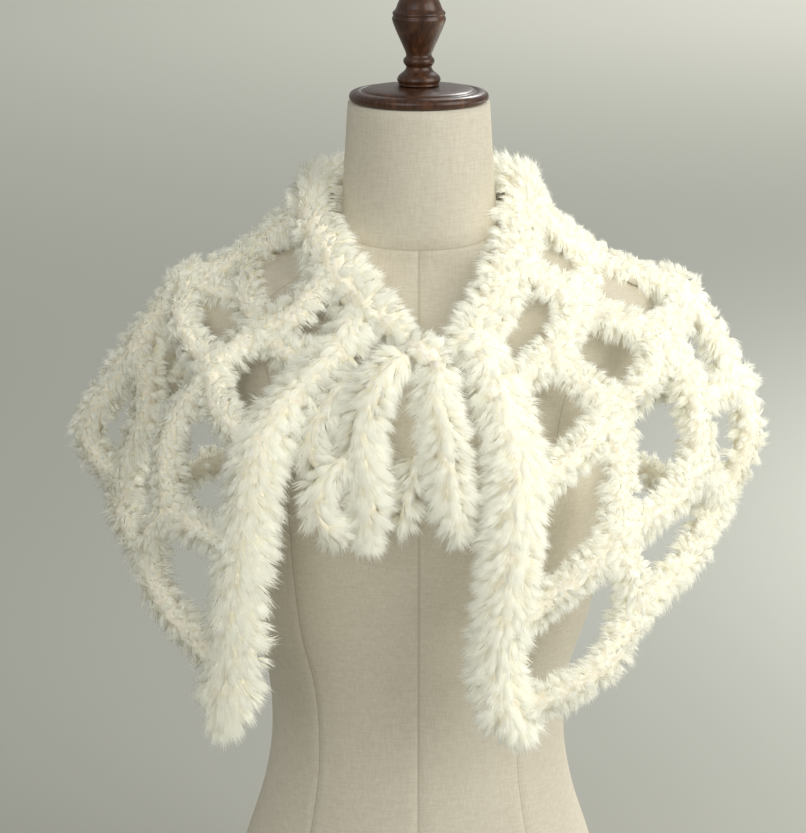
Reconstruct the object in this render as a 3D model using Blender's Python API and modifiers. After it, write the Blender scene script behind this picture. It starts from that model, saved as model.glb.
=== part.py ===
"""Crochet capelet of thick fur yarn, worn on a limbless dress form with a turned wooden cap.

Lengths in the tables are millimetres and MM turns them into metres. +Z is up, the origin is the
centre of the form's flat underside, the front faces -Y, and +X is to the viewer's right.
"""
import math
import random
from bisect import bisect_right

import bmesh
import bpy
from mathutils import Vector

MM = 0.001
SEAM_GAP = 0.3
MERGE_DISTANCE = 0.00001

# The form's body, one row for each level, from the flat underside up to the cut neck.
TORSO_ROWS = (
    # height, half_width, front_depth, back_depth
    (0.0, 158.0, 100.0, 108.0),
    (40.0, 160.0, 104.0, 112.0),
    (117.0, 137.0, 99.0, 95.0),
    (165.0, 122.0, 91.0, 77.0),
    (210.0, 115.0, 86.0, 66.0),
    (264.0, 118.5, 89.0, 70.0),
    (314.0, 134.0, 99.0, 80.0),
    (370.0, 142.0, 113.0, 88.0),
    (430.0, 147.0, 122.0, 92.0),
    (480.0, 156.0, 108.0, 95.0),
    (520.0, 172.0, 88.0, 92.0),
    (548.0, 179.0, 72.0, 83.0),
    (562.0, 173.0, 62.0, 75.0),
    (576.0, 147.0, 56.0, 68.0),
    (592.0, 106.0, 54.0, 62.0),
    (606.0, 76.0, 56.0, 60.0),
    (625.0, 60.0, 58.0, 58.0),
    (660.0, 56.0, 58.0, 52.0),
    (704.5, 53.0, 56.0, 50.0),
)
TORSO_SIDES = 30
TORSO_ROUNDNESS = 2.2
CHEST_SWELL = 10.0
CHEST_ACROSS = 74.0
CHEST_HEIGHT = 428.0
CHEST_SPREAD = 52.0

# The turned cap on the neck and the finial on it, each from its top down to its underside.
CAP_ROWS = (
    # radius, height
    (0.0, 716.7),
    (17.0, 716.7),
    (32.0, 715.8),
    (40.5, 714.6),
    (42.8, 712.6),
    (45.0, 713.6),
    (49.4, 712.8),
    (51.6, 711.0),
    (52.2, 708.8),
    (51.4, 706.4),
    (49.0, 704.8),
    (0.0, 704.8),
)
FINIAL_ROWS = (
    # radius, height
    (0.0, 797.0),
    (4.5, 796.0),
    (7.0, 792.5),
    (5.0, 789.0),
    (7.5, 787.5),
    (12.5, 783.5),
    (15.5, 778.5),
    (17.2, 773.5),
    (20.0, 770.6),
    (19.0, 768.8),
    (20.2, 766.6),
    (19.2, 763.0),
    (16.8, 757.0),
    (13.4, 749.5),
    (10.3, 742.5),
    (9.2, 739.0),
    (11.7, 736.4),
    (11.5, 733.6),
    (9.2, 731.0),
    (10.5, 728.0),
    (15.0, 724.6),
    (16.5, 721.4),
    (15.0, 718.8),
    (15.6, 717.0),
    (0.0, 717.0),
)
CAP_STEPS = 32
FINIAL_STEPS = 20

# The collar, from its left front end round the back of the neck to its right front end.
COLLAR_ROUTE = (
    # across, depth, height, radius
    (-10.0, -97.0, 548.0, 13.0),
    (-26.0, -90.0, 558.0, 19.0),
    (-43.0, -80.0, 571.0, 22.0),
    (-61.0, -68.0, 592.0, 22.0),
    (-73.0, -45.0, 613.0, 22.0),
    (-79.0, -12.0, 629.0, 22.0),
    (-74.0, 30.0, 636.0, 22.0),
    (-48.0, 66.0, 634.0, 22.0),
    (0.0, 82.0, 631.0, 23.0),
    (48.0, 66.0, 634.0, 22.0),
    (73.0, 30.0, 637.0, 22.0),
    (76.0, -10.0, 631.0, 22.0),
    (71.0, -42.0, 609.0, 22.0),
    (61.0, -66.0, 584.0, 22.0),
    (49.0, -82.0, 560.0, 22.0),
    (35.0, -94.0, 545.0, 19.0),
    (21.0, -98.0, 537.0, 13.0),
)

# The front borders hang from the collar to the two low front points.
BAND_LEFT_ROUTE = (
    # across, depth, height, radius
    (-43.0, -82.0, 565.0, 19.0),
    (-55.0, -98.0, 542.0, 22.0),
    (-73.0, -114.0, 522.0, 23.0),
    (-96.0, -131.0, 500.0, 24.0),
    (-113.0, -142.0, 475.0, 25.0),
    (-119.0, -148.0, 440.0, 25.0),
    (-125.0, -150.0, 403.0, 25.0),
    (-131.0, -148.0, 364.0, 25.0),
    (-133.0, -144.0, 324.0, 26.0),
    (-139.0, -141.0, 287.0, 27.0),
    (-142.0, -140.0, 265.0, 14.0),
)
BAND_RIGHT_ROUTE = (
    # across, depth, height, radius
    (42.0, -88.0, 552.0, 18.0),
    (47.0, -106.0, 529.0, 22.0),
    (60.0, -128.0, 499.0, 24.0),
    (68.0, -142.0, 470.0, 26.0),
    (68.0, -148.0, 435.0, 26.0),
    (65.0, -150.0, 400.0, 26.0),
    (62.0, -149.0, 370.0, 26.0),
    (58.0, -147.0, 338.0, 25.0),
    (56.0, -144.0, 306.0, 24.0),
    (65.0, -141.0, 274.0, 24.0),
    (76.0, -140.0, 260.0, 14.0),
)

BORDER_ROUTES = {
    "collar": COLLAR_ROUTE,
    "left_band": BAND_LEFT_ROUTE,
    "right_band": BAND_RIGHT_ROUTE,
}

# The tie is knotted where the collar's ends meet. Each row set is one of its free stretches.
KNOT_ROUTE = (
    # across, depth, height, radius
    (-10.0, -124.0, 548.0, 10.0),
    (-3.0, -127.0, 545.0, 17.0),
    (6.0, -128.0, 540.0, 17.0),
    (13.0, -125.0, 536.0, 10.0),
)
TIE_ROUTES = {
    "tie_left": (
        (-10.0, -136.0, 541.0, 12.0),
        (-24.0, -143.0, 533.0, 18.0),
        (-35.0, -147.0, 514.0, 21.0),
        (-42.0, -149.0, 487.0, 21.0),
        (-38.0, -150.0, 459.0, 20.0),
        (-37.0, -150.0, 432.0, 18.0),
        (-38.0, -148.0, 408.0, 8.0),
    ),
    "tie_left_curl": (
        (-52.0, -155.0, 471.0, 8.0),
        (-65.0, -156.0, 462.0, 12.0),
        (-73.0, -156.0, 443.0, 13.0),
        (-69.0, -154.0, 424.0, 13.0),
        (-57.0, -152.0, 415.0, 7.0),
    ),
    "tie_right": (
        (13.0, -138.0, 538.0, 12.0),
        (11.0, -146.0, 517.0, 18.0),
        (17.0, -150.0, 490.0, 21.0),
        (20.0, -151.0, 461.0, 21.0),
        (24.0, -151.0, 436.0, 18.0),
        (28.0, -149.0, 415.0, 8.0),
    ),
    "tie_right_short": (
        (-1.0, -136.0, 468.0, 8.0),
        (-4.0, -138.0, 456.0, 11.0),
        (-8.0, -141.0, 440.0, 12.0),
        (-11.0, -142.0, 422.0, 6.0),
    ),
    "tie_loop": (
        (-42.0, -130.0, 525.0, 10.0),
        (-54.0, -133.0, 519.0, 13.0),
        (-66.0, -138.0, 506.0, 14.0),
        (-77.0, -142.0, 487.0, 14.0),
        (-74.0, -144.0, 468.0, 12.0),
        (-62.0, -145.0, 460.0, 7.0),
    ),
}
TUBE_SPACING = 20.0
TIE_SPACING = 11.0
TUBE_ROUNDNESS = 2

# The net's knots in front. Others lie on a border and are named by it and a row of its route.
NET_KNOTS = {
    # name: across, depth, height
    "right_top": (121.0, -8.0, 591.0),
    "right_upper": (115.0, -60.0, 564.0),
    "right_corner": (198.0, -10.0, 564.0),
    "right_hub": (177.0, -66.0, 540.0),
    "right_fork": (94.0, -98.0, 535.0),
    "right_inner": (142.0, -104.0, 495.0),
    "right_side_inner": (203.0, -58.0, 495.0),
    "right_side": (243.0, -2.0, 490.0),
    "right_side_low": (208.0, -62.0, 443.0),
    "right_inner_low": (143.0, -126.0, 403.0),
    "right_side_join": (230.0, -8.0, 398.0),
    "right_hem": (160.0, -112.0, 346.0),
    "left_top": (-125.0, -8.0, 588.0),
    "left_corner": (-174.0, -10.0, 571.0),
    "left_hub": (-115.0, -76.0, 549.0),
    "left_fork": (-150.0, -92.0, 523.0),
    "left_side": (-209.0, -26.0, 525.0),
    "left_lobe": (-254.0, -2.0, 452.0),
    "left_side_join": (-226.0, -20.0, 417.0),
    "left_inner_low": (-181.0, -110.0, 421.0),
    "left_hem": (-201.0, -90.0, 383.0),
}
# The middles of the strands that bend. The others run almost straight from knot to knot.
BENT_STRANDS = {
    # knots at its ends: across, depth, height of its middle
    ("right_hub", "right_inner"): (167.0, -92.0, 517.0),
    ("right_side_low", "right_inner_low"): (182.0, -104.0, 424.0),
    ("right_side", "right_side_join"): (253.0, -2.0, 447.0),
    ("right_side_join", "right_hem"): (200.0, -64.0, 366.0),
    ("right_hem", "right_band 9"): (128.0, -134.0, 302.0),
    ("right_band 0", "collar 12.5"): (56.0, -75.0, 571.0),
    ("left_top", "left_hub"): (-126.0, -50.0, 567.0),
    ("left_hub", "collar 3"): (-92.0, -84.0, 560.0),
    ("left_hub", "left_band 1.5"): (-93.0, -96.0, 534.0),
    ("left_corner", "left_fork"): (-172.0, -62.0, 546.0),
    ("left_fork", "left_band 4"): (-143.0, -118.0, 498.0),
    ("left_fork", "left_inner_low"): (-182.0, -98.0, 470.0),
    ("left_side", "left_side_join"): (-205.0, -34.0, 479.0),
    ("left_side_join", "left_hem"): (-220.0, -58.0, 401.0),
    ("left_hem", "left_band 8.5"): (-186.0, -118.0, 352.0),
    ("left_inner_low", "left_band 6"): (-162.0, -128.0, 414.0),
}
# The net's gaps in front, each by the knots round it.
FRONT_GAPS = (
    ("collar 11", "right_top", "right_upper", "collar 12.5"),
    ("collar 12.5", "right_upper", "right_fork", "right_band 1.5", "right_band 0"),
    ("right_top", "right_corner", "right_hub", "right_upper"),
    ("right_upper", "right_hub", "right_inner", "right_fork"),
    ("right_fork", "right_inner", "right_band 4", "right_band 3", "right_band 1.5"),
    ("right_corner", "right_side", "right_side_inner", "right_hub"),
    ("right_hub", "right_side_inner", "right_side_low", "right_inner_low", "right_inner"),
    ("right_side", "right_side_join", "right_side_low", "right_side_inner"),
    ("right_inner", "right_inner_low", "right_band 7", "right_band 5.5", "right_band 4"),
    ("right_side_low", "right_side_join", "right_hem", "right_inner_low"),
    ("right_inner_low", "right_hem", "right_band 9", "right_band 8", "right_band 7"),
    ("collar 5", "left_top", "left_hub", "collar 3"),
    ("left_top", "left_corner", "left_fork", "left_hub"),
    ("collar 3", "left_hub", "left_band 1.5", "collar 2"),
    ("left_hub", "left_fork", "left_band 4", "left_band 3", "left_band 1.5"),
    ("left_corner", "left_side", "left_side_join", "left_hem", "left_inner_low", "left_fork"),
    ("left_side", "left_lobe", "left_side_join"),
    ("left_fork", "left_inner_low", "left_band 6", "left_band 5", "left_band 4"),
    ("left_inner_low", "left_hem", "left_band 8.5", "left_band 7", "left_band 6"),
)

# Behind the form the rounds go on from side to side, below the collar's own.
BACK_ROUNDS = (
    # right end, left end, reach to the right, to the left, backward, height at the sides, at the middle
    ("right_top", "left_top", 121.0, 125.0, 94.0, 590.0, 601.0),
    ("right_corner", "left_corner", 194.0, 176.0, 110.0, 562.0, 546.0),
    ("right_side", "left_side", 244.0, 244.0, 117.0, 470.0, 480.0),
    ("right_side_join", "left_side_join", 252.0, 246.0, 121.0, 382.0, 412.0),
)
BACK_COLLAR_ENDS = ("collar 11", "collar 5")
BACK_COLLAR_SHARE = 0.85
BACK_STRANDS = 5
BACK_ZIGZAG = 11.0
BACK_UNEVENNESS = 5.0
BACK_SEED = 11
# The lobe at the left side belongs to the gap between the last two rounds behind.
SIDE_LOBE = {"left_side_join": ("left_lobe",)}
STRAND_SAG = 2.0
STRAND_BOW = 4.0
SHORTEST_BENT = 34.0
WIRE_THICKNESS = 42.0
SIDE_SEAM_DEPTH = 24.0
CUTTER_REACH = 600.0

FUR_COLOUR = (0.86, 0.84, 0.79, 1.0)
LINEN_COLOUR = (0.66, 0.60, 0.50, 1.0)
WALNUT_COLOUR = (0.075, 0.032, 0.018, 1.0)


def new_collection(name):
    """Return a new collection that hangs from the scene's own."""
    collection = bpy.data.collections.new(name)
    bpy.context.scene.collection.children.link(collection)
    return collection


def new_material(name, colour, roughness, sheen=0.0):
    """Return a Principled material of one colour."""
    material = bpy.data.materials.new(name)
    material.use_nodes = True
    shader = material.node_tree.nodes["Principled BSDF"]
    shader.inputs["Base Color"].default_value = colour
    shader.inputs["Roughness"].default_value = roughness
    shader.inputs["Metallic"].default_value = 0.0
    shader.inputs["Sheen Weight"].default_value = sheen
    return material


def new_object(name, mesh, collection, material=None):
    """Return an object that shows a mesh in a collection, shaded smooth."""
    if material is not None:
        mesh.materials.clear()
        mesh.materials.append(material)
    mesh.shade_smooth()
    thing = bpy.data.objects.new(name, mesh)
    collection.objects.link(thing)
    return thing


def mark_as_cutter(thing):
    """Keep a cutter out of renders and draw it as a wire."""
    thing.hide_render = True
    thing.display_type = "WIRE"
    return thing


def slope_at(rows, index, column):
    """Return a column's slope at a row, from the rows on both sides of it."""
    before = rows[max(index - 1, 0)]
    after = rows[min(index + 1, len(rows) - 1)]
    return (after[column] - before[column]) / (after[0] - before[0])


def smooth_row(rows, place):
    """Return a table's columns at a place in its first column, on a smooth curve through the rows."""
    places = [row[0] for row in rows]
    index = min(max(bisect_right(places, place) - 1, 0), len(rows) - 2)
    low = rows[index]
    high = rows[index + 1]
    span = high[0] - low[0]
    step = (place - low[0]) / span
    columns = []
    for column in range(1, len(low)):
        rise = 3.0 * step ** 2 - 2.0 * step ** 3
        start_pull = span * slope_at(rows, index, column) * step * (1.0 - step) ** 2
        end_pull = span * slope_at(rows, index + 1, column) * step ** 2 * (1.0 - step)
        columns.append(low[column] + (high[column] - low[column]) * rise + start_pull - end_pull)
    return columns


def smooth_route(route, spacing):
    """Return evenly spaced points, each with its radius, on a smooth curve through a route's rows."""
    stations = [0.0]
    for before, after in zip(route, route[1:]):
        stations.append(stations[-1] + math.dist(before[:3], after[:3]))
    rows = [(station, *row) for station, row in zip(stations, route)]
    count = max(round(stations[-1] / spacing), 4)
    return [smooth_row(rows, stations[-1] * index / count) for index in range(count + 1)]


def rounded(value, power):
    """Return a signed power of a sine or cosine, which squares an ellipse's corners a little."""
    return math.copysign(abs(value) ** power, value)


def chest_swell(across, height):
    """Return how far the form's chest stands forward at a place."""
    side = (abs(across) - CHEST_ACROSS) / CHEST_SPREAD
    level = (height - CHEST_HEIGHT) / CHEST_SPREAD
    return CHEST_SWELL * math.exp(-side ** 2 - level ** 2)


def torso_ring(height):
    """Return the points round the form's body at a height."""
    half_width, front_depth, back_depth = smooth_row(TORSO_ROWS, height)
    points = []
    for index in range(TORSO_SIDES):
        turn = math.tau * index / TORSO_SIDES
        across = half_width * rounded(math.cos(turn), 2.0 / TORSO_ROUNDNESS)
        inward = rounded(math.sin(turn), 2.0 / TORSO_ROUNDNESS)
        depth = inward * (front_depth if inward < 0.0 else back_depth)
        if inward < 0.0:
            depth += inward * chest_swell(across, height)
        points.append(Vector((across, depth, height)) * MM)
    return points


def build_torso(collection, material):
    """Loft the form's body through its levels and close it with flat ends."""
    levels = []
    for row, above in zip(TORSO_ROWS, TORSO_ROWS[1:]):
        levels.append(row[0])
        levels.append((row[0] + above[0]) / 2.0)
    levels.append(TORSO_ROWS[-1][0])
    loft = bmesh.new()
    rings = [[loft.verts.new(point) for point in torso_ring(level)] for level in levels]
    for ring, above in zip(rings, rings[1:]):
        for index in range(TORSO_SIDES):
            following = (index + 1) % TORSO_SIDES
            loft.faces.new((ring[index], ring[following], above[following], above[index]))
    loft.faces.new(reversed(rings[0]))
    loft.faces.new(rings[-1])
    bmesh.ops.triangulate(loft, faces=loft.faces)
    mesh = bpy.data.meshes.new("dress_form_torso")
    loft.to_mesh(mesh)
    loft.free()
    return new_object("dress_form_torso", mesh, collection, material)


def build_torso_cutter(torso, collection):
    """Return a copy of the form's body that is larger all round by the gap left at a seat."""
    cutter = mark_as_cutter(new_object("torso_seat", torso.data.copy(), collection))
    swell = cutter.modifiers.new("seat_gap", "DISPLACE")
    swell.direction = "NORMAL"
    swell.mid_level = 0.0
    swell.strength = (SEAM_GAP + 0.05) * MM
    return cutter


def build_turned(name, rows, steps, collection, material):
    """Turn a profile of radii and heights round the vertical axis."""
    profile = bmesh.new()
    points = [profile.verts.new(Vector((radius, 0.0, height)) * MM) for radius, height in rows]
    for before, after in zip(points, points[1:]):
        profile.edges.new((before, after))
    mesh = bpy.data.meshes.new(name)
    profile.to_mesh(mesh)
    profile.free()
    turned = new_object(name, mesh, collection, material)
    screw = turned.modifiers.new("turning", "SCREW")
    screw.axis = "Z"
    screw.angle = math.tau
    screw.steps = steps
    screw.render_steps = steps
    screw.use_merge_vertices = True
    screw.merge_threshold = 0.0001
    return turned


def build_tube(name, route, spacing, collection, material=None, extra_radius=0.0):
    """Return a closed mesh tube along a route, fatter by extra_radius where it is a cutter."""
    curve = bpy.data.curves.new(name, "CURVE")
    curve.dimensions = "3D"
    curve.fill_mode = "FULL"
    curve.use_fill_caps = True
    curve.bevel_depth = MM
    curve.bevel_resolution = TUBE_ROUNDNESS
    samples = smooth_route(route, spacing)
    spline = curve.splines.new("POLY")
    spline.points.add(len(samples) - 1)
    for point, (across, depth, height, radius) in zip(spline.points, samples):
        point.co = (across * MM, depth * MM, height * MM, 1.0)
        point.radius = radius + extra_radius
    holder = bpy.data.objects.new(name, curve)
    collection.objects.link(holder)
    depsgraph = bpy.context.evaluated_depsgraph_get()
    mesh = bpy.data.meshes.new_from_object(holder.evaluated_get(depsgraph))
    place = holder.matrix_world.copy()
    bpy.data.objects.remove(holder)
    bpy.data.curves.remove(curve)
    welded = bmesh.new()
    welded.from_mesh(mesh)
    bmesh.ops.remove_doubles(welded, verts=welded.verts, dist=MERGE_DISTANCE)
    bmesh.ops.triangulate(welded, faces=welded.faces, quad_method="FIXED")
    welded.to_mesh(mesh)
    welded.free()
    tube = new_object(name, mesh, collection, material)
    tube.matrix_world = place
    return tube


def build_box_cutter(name, low, high, collection):
    """Return a box between two corners, for keeping one side of the net."""
    centre = (Vector(low) + Vector(high)) / 2.0 * MM
    size = (Vector(high) - Vector(low)) * MM
    bpy.ops.mesh.primitive_cube_add(size=1.0, location=centre)
    box = bpy.context.active_object
    box.name = name
    box.scale = size
    for owner in list(box.users_collection):
        owner.objects.unlink(box)
    collection.objects.link(box)
    return mark_as_cutter(box)


def add_boolean(thing, operation, cutter):
    """Cut a piece by a cutter, or keep only what lies inside it."""
    boolean = thing.modifiers.new(cutter.name, "BOOLEAN")
    boolean.operation = operation
    boolean.solver = "EXACT"
    boolean.object = cutter


def border_point(route, row):
    """Return the point on a border's middle line at a row of its route, or between two rows."""
    rows = [(index, *point) for index, point in enumerate(route)]
    return Vector(smooth_row(rows, row)[:3])


def border_place(name):
    """Return the border and the row that a knot's name gives, or None for a knot between borders."""
    border, found, row = name.partition(" ")
    return (border, float(row)) if found else None


def net_knot(name):
    """Return a front knot's place from its name."""
    place = border_place(name)
    if place is None:
        return Vector(NET_KNOTS[name])
    return border_point(BORDER_ROUTES[place[0]], place[1])


def back_knot(strand, ring, uneven):
    """Return the place of the knot where a strand behind the form meets a round."""
    across = strand / (BACK_STRANDS + 1) - 0.5
    if ring == 0:
        first_row, last_row = [border_place(name)[1] for name in BACK_COLLAR_ENDS]
        centre_row = (first_row + last_row) / 2.0
        return border_point(COLLAR_ROUTE, centre_row + (last_row - first_row) * across * BACK_COLLAR_SHARE)
    _, _, right_reach, left_reach, depth, side_height, height = BACK_ROUNDS[ring - 1]
    turn = math.pi * (across + 0.5)
    behind = math.sin(turn) ** 2
    zigzag = BACK_ZIGZAG * (-1) ** (strand + ring)
    return Vector((
        math.cos(turn) * (right_reach if across < 0.0 else left_reach),
        math.sin(turn) * depth + uneven.uniform(-BACK_UNEVENNESS, BACK_UNEVENNESS),
        side_height + (height - side_height + zigzag) * behind,
    ))


def net_knots():
    """Return the places of all the net's knots by name, and the rounds behind as lists of names."""
    uneven = random.Random(BACK_SEED)
    places = {name: net_knot(name) for gap in FRONT_GAPS for name in gap}
    rounds = []
    for ring, ends in enumerate((BACK_COLLAR_ENDS, *BACK_ROUNDS)):
        behind = [f"back_{ring}_{strand}" for strand in range(1, BACK_STRANDS + 1)]
        for strand, name in enumerate(behind, 1):
            places[name] = back_knot(strand, ring, uneven)
        rounds.append([ends[0], *behind, ends[1]])
    return places, rounds


def net_gaps(rounds):
    """Return all the net's gaps, each as the names of the knots round it."""
    gaps = list(FRONT_GAPS)
    for upper, lower in zip(rounds, rounds[1:]):
        for column in range(BACK_STRANDS + 1):
            lobe = SIDE_LOBE.get(lower[column + 1], ())
            gaps.append((*upper[column:column + 2], *lobe, lower[column + 1], lower[column]))
    return gaps


def strand_middle(first, second, places):
    """Return the middle of the strand between two knots, or None where it is short and straight."""
    bend = BENT_STRANDS.get((first, second)) or BENT_STRANDS.get((second, first))
    if bend:
        return Vector(bend)
    first_place = border_place(first)
    second_place = border_place(second)
    if first_place and second_place and first_place[0] == second_place[0]:
        return border_point(BORDER_ROUTES[first_place[0]], (first_place[1] + second_place[1]) / 2.0)
    centre = (places[first] + places[second]) / 2.0
    if first_place and second_place:
        return centre
    if (places[first] - places[second]).length < SHORTEST_BENT:
        return None
    outward = Vector((centre.x, centre.y, 0.0)).normalized()
    return centre + outward * STRAND_BOW - Vector((0.0, 0.0, STRAND_SAG))


def net_cage():
    """Return the net's cage: a vertex at each knot and each strand's middle, a face in each gap."""
    places, rounds = net_knots()
    cage = bmesh.new()
    knots = {name: cage.verts.new(place * MM) for name, place in places.items()}
    middles = {}
    for gap in net_gaps(rounds):
        outline = []
        for first, second in zip(gap, gap[1:] + gap[:1]):
            outline.append(knots[first])
            pair = frozenset((first, second))
            if pair not in middles:
                middle = strand_middle(first, second, places)
                middles[pair] = cage.verts.new(middle * MM) if middle else None
            if middles[pair]:
                outline.append(middles[pair])
        cage.faces.new(outline)
    bmesh.ops.recalc_face_normals(cage, faces=cage.faces)
    mesh = bpy.data.meshes.new("net_cage")
    cage.to_mesh(mesh)
    cage.free()
    return mesh


def build_net_panel(name, cage, keep_box, cutters, collection, material):
    """Return one panel of the net: round strands on the cage's edges, cut where they meet borders."""
    panel = new_object(name, cage, collection, material)
    wires = panel.modifiers.new("strands", "WIREFRAME")
    wires.thickness = WIRE_THICKNESS * MM
    wires.offset = 0.0
    wires.use_replace = True
    wires.use_boundary = True
    wires.use_even_offset = True
    smooth = panel.modifiers.new("round_strands", "SUBSURF")
    smooth.levels = 1
    smooth.render_levels = 1
    for cutter in cutters:
        add_boolean(panel, "DIFFERENCE", cutter)
    add_boolean(panel, "INTERSECT", keep_box)
    return panel


def main():
    for thing in list(bpy.data.objects):
        bpy.data.objects.remove(thing)
    parts = new_collection("crochet_capelet")
    cutters = new_collection("cutters")
    fur = new_material("fur_yarn", FUR_COLOUR, 0.9, 0.4)
    linen = new_material("form_linen", LINEN_COLOUR, 0.85)
    walnut = new_material("turned_walnut", WALNUT_COLOUR, 0.35)

    torso = build_torso(parts, linen)
    torso_seat = build_torso_cutter(torso, cutters)
    build_turned("neck_cap", CAP_ROWS, CAP_STEPS, parts, walnut)
    build_turned("finial", FINIAL_ROWS, FINIAL_STEPS, parts, walnut)

    tubes = {
        "collar": (COLLAR_ROUTE, TUBE_SPACING),
        "front_band_left": (BAND_LEFT_ROUTE, TUBE_SPACING),
        "front_band_right": (BAND_RIGHT_ROUTE, TUBE_SPACING),
        "tie_knot": (KNOT_ROUTE, TIE_SPACING / 2.0),
    }
    for name, route in TIE_ROUTES.items():
        tubes[name] = (route, TIE_SPACING)
    border_seats = [torso_seat]
    for name, (route, spacing) in tubes.items():
        piece = build_tube(name, route, spacing, parts, fur)
        for seat in border_seats:
            add_boolean(piece, "DIFFERENCE", seat)
        seat = build_tube(f"{name}_seat", route, spacing, cutters, None, SEAM_GAP)
        border_seats.append(mark_as_cutter(seat))

    reach = CUTTER_REACH
    panels = {
        "net_front_right": ((0.0, -reach, 0.0), (reach, SIDE_SEAM_DEPTH, reach * 2.0)),
        "net_front_left": ((-reach, -reach, 0.0), (0.0, SIDE_SEAM_DEPTH, reach * 2.0)),
        "net_back": ((-reach, SIDE_SEAM_DEPTH + SEAM_GAP, 0.0), (reach, reach, reach * 2.0)),
    }
    cage = net_cage()
    for name, (low, high) in panels.items():
        keep_box = build_box_cutter(f"{name}_side", low, high, cutters)
        build_net_panel(name, cage, keep_box, border_seats, parts, fur)


main()
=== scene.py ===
"""Looks of a crochet capelet of thick fur yarn, worn on a linen dress form with a turned wooden cap.

Lengths in the tables are millimetres and MM turns them into metres, in the model's own frame:
+Z up, the front faces -Y, +X is to the viewer's right.
"""
import math
import random
from bisect import bisect_right

import bpy
import numpy as np
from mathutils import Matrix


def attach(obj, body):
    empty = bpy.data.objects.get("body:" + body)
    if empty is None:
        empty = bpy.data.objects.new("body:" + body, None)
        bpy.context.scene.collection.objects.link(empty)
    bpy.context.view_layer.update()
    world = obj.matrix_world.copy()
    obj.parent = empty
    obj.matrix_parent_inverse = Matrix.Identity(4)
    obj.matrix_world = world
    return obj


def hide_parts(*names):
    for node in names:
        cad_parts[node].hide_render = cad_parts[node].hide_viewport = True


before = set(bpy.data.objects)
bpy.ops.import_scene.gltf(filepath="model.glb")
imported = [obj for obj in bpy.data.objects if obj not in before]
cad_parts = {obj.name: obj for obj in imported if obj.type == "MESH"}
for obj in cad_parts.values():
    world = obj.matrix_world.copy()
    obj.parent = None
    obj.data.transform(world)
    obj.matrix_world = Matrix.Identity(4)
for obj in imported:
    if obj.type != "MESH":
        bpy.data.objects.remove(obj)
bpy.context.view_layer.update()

MM = 0.001

CAMERA_PLACE = (-0.0118, -2.0, 0.9907)
CAMERA_TILT_DOWN = 14.8
CAMERA_LENS = 116.5
CAMERA_FAR = 60.0
GROUND_REACH = 30.0
# The lamps are square and soft.
LAMPS = (
    # name, place, point it faces, size, watts, colour, spread
    ("window", (2.25, -1.1, 1.5), (0.0, 0.0, 0.45), 2.2, 61.0, (1.0, 0.985, 0.95), 180.0),
    ("fill", (-0.9, -2.1, 1.5), (0.0, 0.0, 0.5), 1.6, 18.0, (1.0, 0.995, 0.98), 180.0),
    ("far_wash", (2.7, 7.5, 6.0), (2.7, 7.51, 0.0), 2.0, 600.0, (1.0, 1.0, 0.98), 180.0),
    ("side_wash", (1.7, 1.1, 1.2), (1.7, 1.11, 0.0), 0.5, 42.0, (0.98, 1.0, 1.02), 130.0),
)

TORSO_ROWS = (
    # height, half_width, front_depth, back_depth
    (0.0, 158.0, 100.0, 108.0),
    (40.0, 160.0, 104.0, 112.0),
    (117.0, 137.0, 99.0, 95.0),
    (165.0, 122.0, 91.0, 77.0),
    (210.0, 115.0, 86.0, 66.0),
    (264.0, 118.5, 89.0, 70.0),
    (314.0, 134.0, 99.0, 80.0),
    (370.0, 142.0, 113.0, 88.0),
    (430.0, 147.0, 122.0, 92.0),
    (480.0, 156.0, 108.0, 95.0),
    (520.0, 172.0, 88.0, 92.0),
    (548.0, 179.0, 72.0, 83.0),
    (562.0, 173.0, 62.0, 75.0),
    (576.0, 147.0, 56.0, 68.0),
    (592.0, 106.0, 54.0, 62.0),
    (606.0, 76.0, 56.0, 60.0),
    (625.0, 60.0, 58.0, 58.0),
    (660.0, 56.0, 58.0, 52.0),
    (704.5, 53.0, 56.0, 50.0),
)
TORSO_ROUNDNESS = 2.2
CHEST_SWELL = 10.0
CHEST_ACROSS = 74.0
CHEST_HEIGHT = 428.0
CHEST_SPREAD = 52.0
TORSO_LEVEL_STEP = 7.0
TORSO_PANEL_COLUMNS = 14
TORSO_MEAN_RADIUS = 130.0
PRINCESS_SEAM_ACROSS = 0.66
SEAM_HALF_WIDTH = 0.9
SEAM_DEPTH = 0.55
SEAM_CLEARANCE = 3.0
SAME_LEVEL = 0.01
NECK_SEAM_HEIGHT = 628.0
NECK_SEAM_TILT = 25.0
NECK_SEAM_SPREAD = 42.0

CAP_ROWS = (
    # radius, height
    (0.0, 716.7),
    (17.0, 716.7),
    (32.0, 715.8),
    (40.5, 714.6),
    (42.8, 712.6),
    (45.0, 713.6),
    (49.4, 712.8),
    (51.6, 711.0),
    (52.2, 708.8),
    (51.4, 706.4),
    (49.0, 704.8),
    (0.0, 704.8),
)
FINIAL_ROWS = (
    # radius, height
    (0.0, 797.0),
    (4.5, 796.0),
    (7.0, 792.5),
    (5.0, 789.0),
    (7.5, 787.5),
    (12.5, 783.5),
    (15.5, 778.5),
    (17.2, 773.5),
    (20.0, 770.6),
    (19.0, 768.8),
    (20.2, 766.6),
    (19.2, 763.0),
    (16.8, 757.0),
    (13.4, 749.5),
    (10.3, 742.5),
    (9.2, 739.0),
    (11.7, 736.4),
    (11.5, 733.6),
    (9.2, 731.0),
    (10.5, 728.0),
    (15.0, 724.6),
    (16.5, 721.4),
    (15.0, 718.8),
    (15.6, 717.0),
    (0.0, 717.0),
)
TURNED_STEPS = 72
CORNER_CUT = 0.2
CORNER_ROUNDS = 2

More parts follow.
